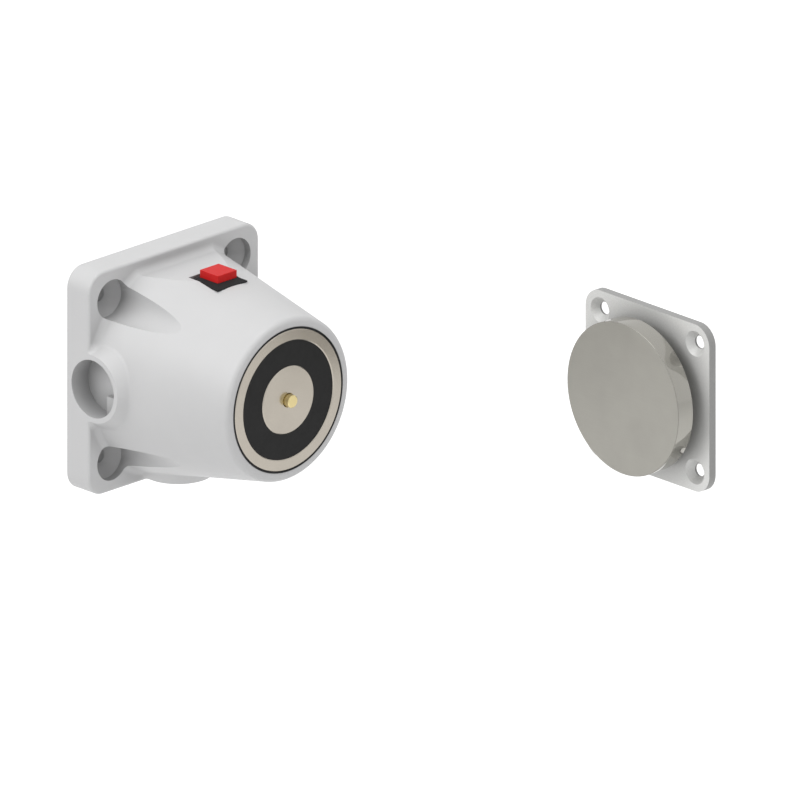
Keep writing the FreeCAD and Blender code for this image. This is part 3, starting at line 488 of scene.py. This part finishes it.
FINISHES = {
    # The housing's corners share is painted shade, darker where it is closed in.
    "housing_plastic": moulded("housing_plastic", (0.595, 0.595, 0.598), roughness=0.46,
                               flow=0.012, corners=0.64),
    "pot_steel": turned_metal("pot_steel", (0.46, 0.422, 0.366), roughness=0.24, metallic=0.85),
    "black_resin": cast_resin("black_resin", (0.010, 0.010, 0.010)),
    "black_sleeve": moulded("black_sleeve", (0.006, 0.006, 0.007), roughness=0.5, flow=0.1,
                            ior=1.3),
    "spool_plastic": moulded("spool_plastic", (0.70, 0.66, 0.55), roughness=0.4),
    "copper_wire": wound_copper("copper_wire", (0.72, 0.30, 0.13)),
    "plated_steel": plated_metal("plated_steel", (0.60, 0.60, 0.58), roughness=0.26),
    "spring_steel": drawn_wire("spring_steel", (0.50, 0.50, 0.49)),
    "brass": turned_metal("brass", (0.66, 0.55, 0.28), roughness=0.24, pitch=0.2 * MM),
    "black_plastic": moulded("black_plastic", (0.013, 0.013, 0.014), roughness=0.45, flow=0.1,
                             ior=1.24),
    "red_plastic": moulded("red_plastic", (0.59, 0.016, 0.016), roughness=0.45, flow=0.03,
                           ior=1.24),
    "tinned_metal": plated_metal("tinned_metal", TIN, roughness=0.2),
    "board_green": board_laminate("board_green", (0.02, 0.16, 0.06)),
    "block_grey": moulded("block_grey", (0.16, 0.17, 0.175), roughness=0.4, flow=0.05),
    "lead_red": lead_insulation("lead_red", (0.50, 0.03, 0.025)),
    "lead_black": lead_insulation("lead_black", (0.025, 0.025, 0.026)),
    "plate_paint": coated_plate("plate_paint", (0.76, 0.76, 0.745)),
    "disc_nickel": ground_disc("disc_nickel", (0.36, 0.35, 0.318)),
    "white_nylon": moulded("white_nylon", (0.78, 0.77, 0.71), roughness=0.38),
}


def dress_nodes():
    """Every node takes the finish of its slot in the record, and the diode one of its own."""
    for subpart in frame["record"]["subparts"]:
        mesh = nodes[subpart["node"]].data
        mesh.materials.clear()
        mesh.materials.append(FINISHES[subpart["material_slot"]])
    diode = nodes["suppressor_diode"].data
    diode.materials.clear()
    diode.materials.append(diode_with_legs("diode_with_legs", (0.012, 0.012, 0.013)))


# Small pieces of the looks, as plain surfaces in the frame's axes

WELD = 1e-7


def surface(rows, closed=True):
    """Points and quads of a grid: rows[i][j] joins its neighbours i + 1 and j + 1, and each
    row's last point joins its first where the rows are closed round."""
    points = np.asarray(rows, dtype=float)
    tall, wide = points.shape[:2]
    i, j = np.meshgrid(np.arange(tall - 1), np.arange(wide if closed else wide - 1),
                       indexing="ij")
    i, j = i.ravel(), j.ravel()
    after = (j + 1) % wide
    quads = np.stack([i * wide + j, i * wide + after, (i + 1) * wide + after,
                      (i + 1) * wide + j], axis=1)
    return points.reshape(-1, 3), quads


def piece(name, grids, material_slot, body="root", crease=35):
    """One object from several grids: welded, smooth up to a crease angle in degrees, riding
    with its body and in its material slot."""
    points, quads, first = [], [], 0
    for grid_points, grid_quads in grids:
        points.append(grid_points)
        quads.append(grid_quads + first)
        first += len(grid_points)
    points, quads = np.concatenate(points), np.concatenate(quads)
    mesh = bpy.data.meshes.new(name)
    mesh.from_pydata(points.tolist(), [], quads.tolist())
    shape = bmesh.new()
    shape.from_mesh(mesh)
    bmesh.ops.remove_doubles(shape, verts=shape.verts, dist=WELD)
    bmesh.ops.dissolve_degenerate(shape, edges=shape.edges, dist=WELD / 10)
    bmesh.ops.recalc_face_normals(shape, faces=shape.faces)
    shape.to_mesh(mesh)
    shape.free()
    mesh.polygons.foreach_set("use_smooth", [True] * len(mesh.polygons))
    mesh.set_sharp_from_angle(angle=math.radians(crease))
    mesh.materials.append(FINISHES[material_slot])
    thing = bpy.data.objects.new(name, mesh)
    scene.collection.objects.link(thing)
    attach(thing, body)
    return thing


def screw_head(middle, turn, radius, rise, arm_long, arm_wide):
    """A domed head with a cross recess, facing -X. At radius r and angle a the surface is
    rise * sqrt(1 - (r / R)^2 * 0.9) high, less a recess of 0.95 of that where the point lies
    within either arm, |u| < arm_wide and |v| < arm_long in axes turned by the given angle.
    The last two rows are the rim and the middle of the flat underside."""
    fine, coarse = np.linspace(0, 0.66, 34), np.linspace(0.7, 1, 9)
    radii = np.concatenate([fine, coarse, [0]]) * radius
    angles = np.linspace(0, 2 * math.pi, 160, endpoint=False)
    r, a = np.meshgrid(radii, angles, indexing="ij")
    u, v = r * np.cos(a - turn), r * np.sin(a - turn)
    height = rise * np.sqrt(1 - 0.9 * (r / radius) ** 2)
    one_arm = np.minimum(arm_wide - np.abs(u), arm_long - np.abs(v))
    other_arm = np.minimum(arm_wide - np.abs(v), arm_long - np.abs(u))
    wall = 0.08 * radius
    recess = np.clip(0.5 + np.maximum(one_arm, other_arm) / wall, 0, 1)
    height = height * (1 - 0.95 * recess)
    height[-2:] = 0
    x = middle[0] - height
    rows = np.stack([x, middle[1] + r * np.cos(a), middle[2] + r * np.sin(a)], axis=-1)
    return surface(rows)


def turned(middle, profile, sides=48):
    """A shape turned about a line along X. Each (radius, height) of the profile becomes a circle:
    at angle a it is radius * cos(a) along Y, radius * sin(a) along Z and height along -X."""
    radius, height = np.asarray(profile, dtype=float).T[:, :, None]
    a = np.linspace(0, 2 * math.pi, sides, endpoint=False)
    rows = np.stack([middle[0] - height + 0 * a, middle[1] + radius * np.cos(a),
                     middle[2] + radius * np.sin(a)], axis=-1)
    return surface(rows)


def solder_cone(middle, foot, top, height):
    """A hollow-sided cone of solder round a lead, facing -X: at height share t its radius is
    top + (foot - top) * (1 - t)^2. A straight wall and a flat underside close it."""
    t = np.linspace(0, 1, 12)
    side = np.stack([top + (foot - top) * (1 - t) ** 2, height * t], axis=1)
    return turned(middle, [(top, 0), *side, (top, 0)])


def flat_ring(middle, inner, outer, rise):
    """A thin flat ring, facing -X: its section is a rectangle from inner to outer radius."""
    return turned(middle, [(inner, 0), (inner, rise), (outer, rise), (outer, 0), (inner, 0)])


def ribbon(x, path, width, rise):
    """A thin raised strip on the face at x, facing -X. Its sides stand off the path by half the
    width along the corner's miter: the sum of both runs' side vectors over 1 + their product.
    Its section is a low trapezium let into the face, and it narrows to a point at both ends."""
    runs = np.diff(path, axis=0)
    runs /= np.linalg.norm(runs, axis=1)[:, None]
    sides = np.stack([-runs[:, 1], runs[:, 0]], axis=1)
    before = np.vstack([sides[:1], sides])
    after = np.vstack([sides, sides[-1:]])
    miter = (before + after) / (1 + np.sum(before * after, axis=1))[:, None]
    foot = -0.3 * rise
    section = np.array([(-1, foot), (-0.85, rise), (0.85, rise), (1, foot), (-1, foot)])
    across, height = section.T[:, :, None]
    line = path + miter * across[..., None] * width / 2
    rows = np.concatenate([x - height[..., None] + 0 * line[..., :1], line], axis=-1)
    ends = np.concatenate([np.full((2, 1), x - rise / 2), path[[0, -1]]], axis=1)
    first, last = (np.repeat(end[None, None], len(section), axis=0) for end in ends)
    return surface(np.concatenate([first, rows, last], axis=1), closed=False)


def band(axis_x, axis_z, radius, start, end):
    """A painted band round a can that lies along Y: a thin ring, at angle a radius * cos(a)
    along X and radius * sin(a) along Z, with sloped edges, its underside just inside the can."""
    slope = 0.03 * MM
    profile = np.array([(radius - slope, start), (radius, start + slope), (radius, end - slope),
                        (radius - slope, end), (radius - slope, start)])
    r, y = profile.T[:, :, None]
    a = np.linspace(0, 2 * math.pi, 48, endpoint=False)
    return surface(np.stack([axis_x + r * np.cos(a), y + 0 * a, axis_z + r * np.sin(a)], axis=-1))


def square_turned(middle, profile, corner):
    """A shape of square rings about an upright axis, one for each (half side, height) of the
    profile. Each ring's corners are quarter circles of the corner radius, or of the half side
    where that is less, so a ring of half side 0 closes the shape."""
    half, height = np.asarray(profile, dtype=float).T[:, :, None]
    radius = np.minimum(corner, half)
    quarter = np.repeat(np.arange(4), 5)
    a = (quarter + np.tile(np.linspace(0, 1, 5), 4)) * math.pi / 2
    side_x = np.where((quarter == 0) | (quarter == 3), 1, -1)
    side_y = np.where(quarter < 2, 1, -1)
    x = middle[0] + (half - radius) * side_x + radius * np.cos(a)
    y = middle[1] + (half - radius) * side_y + radius * np.sin(a)
    return surface(np.stack([x, y, height + 0 * a], axis=-1))


# The switch's frame and cap, set on the boxes of the solids that they stand for
FRAME_SIDE = 1.9 * MM
FRAME_LIP_OUT = 0.38 * MM
FRAME_LIP_IN = 0.45 * MM
FRAME_CREST = 0.25 * MM
FRAME_LEDGE = 1.0 * MM
FRAME_CORNER = 0.2 * MM
WELL_DEPTH = 2.4 * MM
WELL_GAP = 0.15 * MM
CAP_TRIM = 0.03 * MM
CAP_CORNER = 0.12 * MM
CAP_INSIDE = 2.9 * MM
CAP_POCKET = 2.85 * MM
SOFT_EDGE = 0.08 * MM


def add_button():
    """The release switch as it shows: a black frame that slopes up to a plain square cap."""
    low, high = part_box("button_bezel")
    cap_low, cap_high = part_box("release_button")
    middle = (low + high) / 2
    half = (high.x - low.x) / 2
    cap_side = (cap_high.x - cap_low.x) / 2
    foot = high.z - FRAME_SIDE
    crest = high.z - FRAME_CREST
    floor = cap_low.z - WELL_DEPTH
    well = cap_side + WELL_GAP
    frame_profile = [
        (0, floor), (well, floor), (well, crest - SOFT_EDGE), (well + SOFT_EDGE, crest),
        (half - SOFT_EDGE, foot + FRAME_LIP_IN), (half, foot + FRAME_LIP_OUT), (half, foot),
        (half - FRAME_LEDGE, foot), (half - FRAME_LEDGE, low.z), (0, low.z)]
    frame_piece = piece("button_frame", [square_turned(middle, frame_profile, FRAME_CORNER)],
                        "black_plastic", crease=12)
    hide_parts("button_bezel")
    cap_half = cap_side - CAP_TRIM
    pocket = cap_low.z + CAP_POCKET
    cap_profile = [
        (0, pocket), (CAP_INSIDE, pocket), (CAP_INSIDE, cap_low.z), (cap_half, cap_low.z),
        (cap_half, cap_high.z - SOFT_EDGE), (cap_half - SOFT_EDGE, cap_high.z),
        (0, cap_high.z)]
    cap = piece("button_cap", [square_turned(middle, cap_profile, CAP_CORNER)],
                "red_plastic", "release_button")
    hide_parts("release_button")


# Each spring: the node it stands for, its axis, the helix's radius, the wire's, its joint
SPRINGS = [
    ("button_spring", 2, 2.1 * MM, 0.22 * MM, "button_press"),
    ("ejector_spring", 0, 2.6 * MM, 0.35 * MM, "pin_press"),
]
SPRING_TURNS = 6
STEPS_A_TURN = 56
WIRE_SIDES = 14


def coil(start, along, length, radius, wire, turns):
    """A compression spring with closed ends. At share t of the wire it has turned t * turns
    times and risen length * s, where the first and the last turn climb by 2.1 radii of the wire
    and the others evenly. Each ring of the wire stands square to the way the helix runs."""
    along = np.asarray(along, dtype=float)
    side = np.array([0.0, 1.0, 0.0])
    other = np.cross(along, side)
    t = np.linspace(0, 1, STEPS_A_TURN * turns + 1)
    closed = 1.0 / turns
    shut = 2.1 * wire / length
    climb = np.interp(t, [0, closed, 1 - closed, 1], [0, shut, 1 - shut, 1])
    angle = 2 * math.pi * turns * t
    out = np.cos(angle)[:, None] * side + np.sin(angle)[:, None] * other
    line = np.asarray(start) + out * radius + along * (climb * length)[:, None]
    run = np.gradient(line, axis=0)
    run /= np.linalg.norm(run, axis=1)[:, None]
    across = np.cross(run, out)
    a = np.linspace(0, 2 * math.pi, WIRE_SIDES, endpoint=False)
    ring = out[:, None] * np.cos(a)[:, None] + across[:, None] * np.sin(a)[:, None]
    rows = line[:, None] + wire * ring
    first = np.repeat(line[:1], WIRE_SIDES, axis=0)
    last = np.repeat(line[-1:], WIRE_SIDES, axis=0)
    return surface(np.concatenate([[first], rows, [last]]))


def add_springs():
    """Both springs, each a coil of wire along its axis in place of its node."""
    for node, axis, radius, wire, joint in SPRINGS:
        low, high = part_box(node)
        seat = (low + high) / 2
        seat[axis] = low[axis]
        start = seat.copy()
        start[axis] += wire
        along = [1.0 if k == axis else 0.0 for k in range(3)]
        tall = high[axis] - low[axis]
        grid = coil(start, along, tall - 2 * wire, radius, wire, SPRING_TURNS)
        spring = piece(node + "_wire", [grid], "spring_steel")
        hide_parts(node)
        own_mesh(spring)


# Places on the board and behind the magnet, in millimetres along Y and Z
LANDINGS = [(-9.5, -4.5), (-7.0, -4.5), (-3.0, -4.5), (3.0, -4.5)]
DIODE_LEGS = [(-0.6, -8.5), (8.6, -8.5)]
BOARD_SCREWS = [(-14.5, -18.5), (-14.5, -4.5), (14.5, -18.5), (14.5, -4.5)]
POT_SCREWS = [(0.0, -16.0), (13.856, 8.0), (-13.856, 8.0)]
TRACKS = [
    [(-7.62, -12.0), (-7.62, -10.6), (-9.5, -8.7), (-9.5, -4.5)],
    [(-2.54, -12.0), (-2.54, -11.2), (-7.0, -6.9), (-7.0, -4.5)],
    [(-2.54, -12.0), (-2.54, -11.6), (-0.6, -9.66), (-0.6, -8.5)],
    [(2.54, -12.0), (2.54, -7.2), (1.2, -5.9), (-1.6, -5.9), (-3.0, -4.5)],
    [(7.62, -12.0), (7.62, -9.5), (8.6, -8.5)],
    [(8.6, -8.5), (8.6, -6.2), (6.9, -4.5), (3.0, -4.5)],
]
PRINT_LINES = [
    [(1.0, -10.4), (7.0, -10.4), (7.0, -6.6), (1.0, -6.6), (1.0, -10.4)],
    [(-10.9, -20.5), (-10.9, -11.7), (10.9, -11.7), (10.9, -20.5)],
]
TRACK_WIDTH = 1.1 * MM
TRACK_RISE = 0.06 * MM
TRACK_STEP = 0.004 * MM
PRINT_WIDTH = 0.2 * MM
PRINT_RISE = 0.095 * MM
PAD_HOLE = 0.3 * MM
PAD_RADIUS = 1.15 * MM
PAD_RISE = 0.1 * MM
SOLDER_LIFT = 0.09 * MM
LEAD_JOINT = {"foot": 1.05 * MM, "top": 0.66 * MM, "height": 0.8 * MM}
LEG_JOINT = {"foot": 0.95 * MM, "top": 0.41 * MM, "height": 0.35 * MM}
BAND_SPAN = (5.2 * MM, 6.1 * MM)
BAND_THICK = 0.02 * MM
BOARD_HEAD = {"radius": 2.7 * MM, "rise": 0.55 * MM, "arm_long": 1.5 * MM, "arm_wide": 0.36 * MM}
POT_HEAD = {"radius": 4.0 * MM, "rise": 0.8 * MM, "arm_long": 2.2 * MM, "arm_wide": 0.5 * MM}


def on_board(spot, above=0.0):
    """A place on the board's face towards the wall."""
    return (BOARD_FACE - above, spot[0] * MM, spot[1] * MM)


def add_screw_heads():
    """Domed cross heads on the board's screws and on those that hold the magnet, each turned
    by an angle of its own, as screws end up."""
    board_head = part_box("board_screws")[0].x
    pot_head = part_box("pot_screws")[0].x
    piece("board_screw_domes", [screw_head((board_head, y * MM, z * MM), 0.4 + y, **BOARD_HEAD)
                                for y, z in BOARD_SCREWS], "plated_steel")
    piece("pot_screw_domes", [screw_head((pot_head, y * MM, z * MM), 0.7 + z, **POT_HEAD)
                              for y, z in POT_SCREWS], "plated_steel")


def add_board_details():
    """Tracks under the mask, bare pads, solder on every lead, the diode's band, print lines.
    Each track is a little higher than the one before, so that no two tops share a plane."""
    piece("board_tracks", [ribbon(BOARD_FACE, np.array(path) * MM, TRACK_WIDTH,
                                  TRACK_RISE + TRACK_STEP * k)
                           for k, path in enumerate(TRACKS)], "board_green")
    piece("solder_pads", [flat_ring(on_board(spot), PAD_HOLE, PAD_RADIUS, PAD_RISE)
                          for spot in LANDINGS + DIODE_LEGS], "tinned_metal")
    joints = [solder_cone(on_board(spot, SOLDER_LIFT), **LEAD_JOINT) for spot in LANDINGS]
    joints += [solder_cone(on_board(spot, SOLDER_LIFT), **LEG_JOINT) for spot in DIODE_LEGS]
    piece("solder_joints", joints, "tinned_metal")
    low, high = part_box("suppressor_diode")
    can = (high.z - low.z) / 2
    piece("diode_band", [band(low.x + can, DIODE_MIDDLE.z, can + BAND_THICK, *BAND_SPAN)],
          "tinned_metal")
    piece("board_print", [ribbon(BOARD_FACE, np.array(line) * MM, PRINT_WIDTH, PRINT_RISE)
                          for line in PRINT_LINES], "white_nylon")


dress_nodes()
add_button()
add_springs()
add_screw_heads()
add_board_details()
add_camera()
add_world()
add_floor()
add_lamps()
scene.view_settings.view_transform = "Standard"
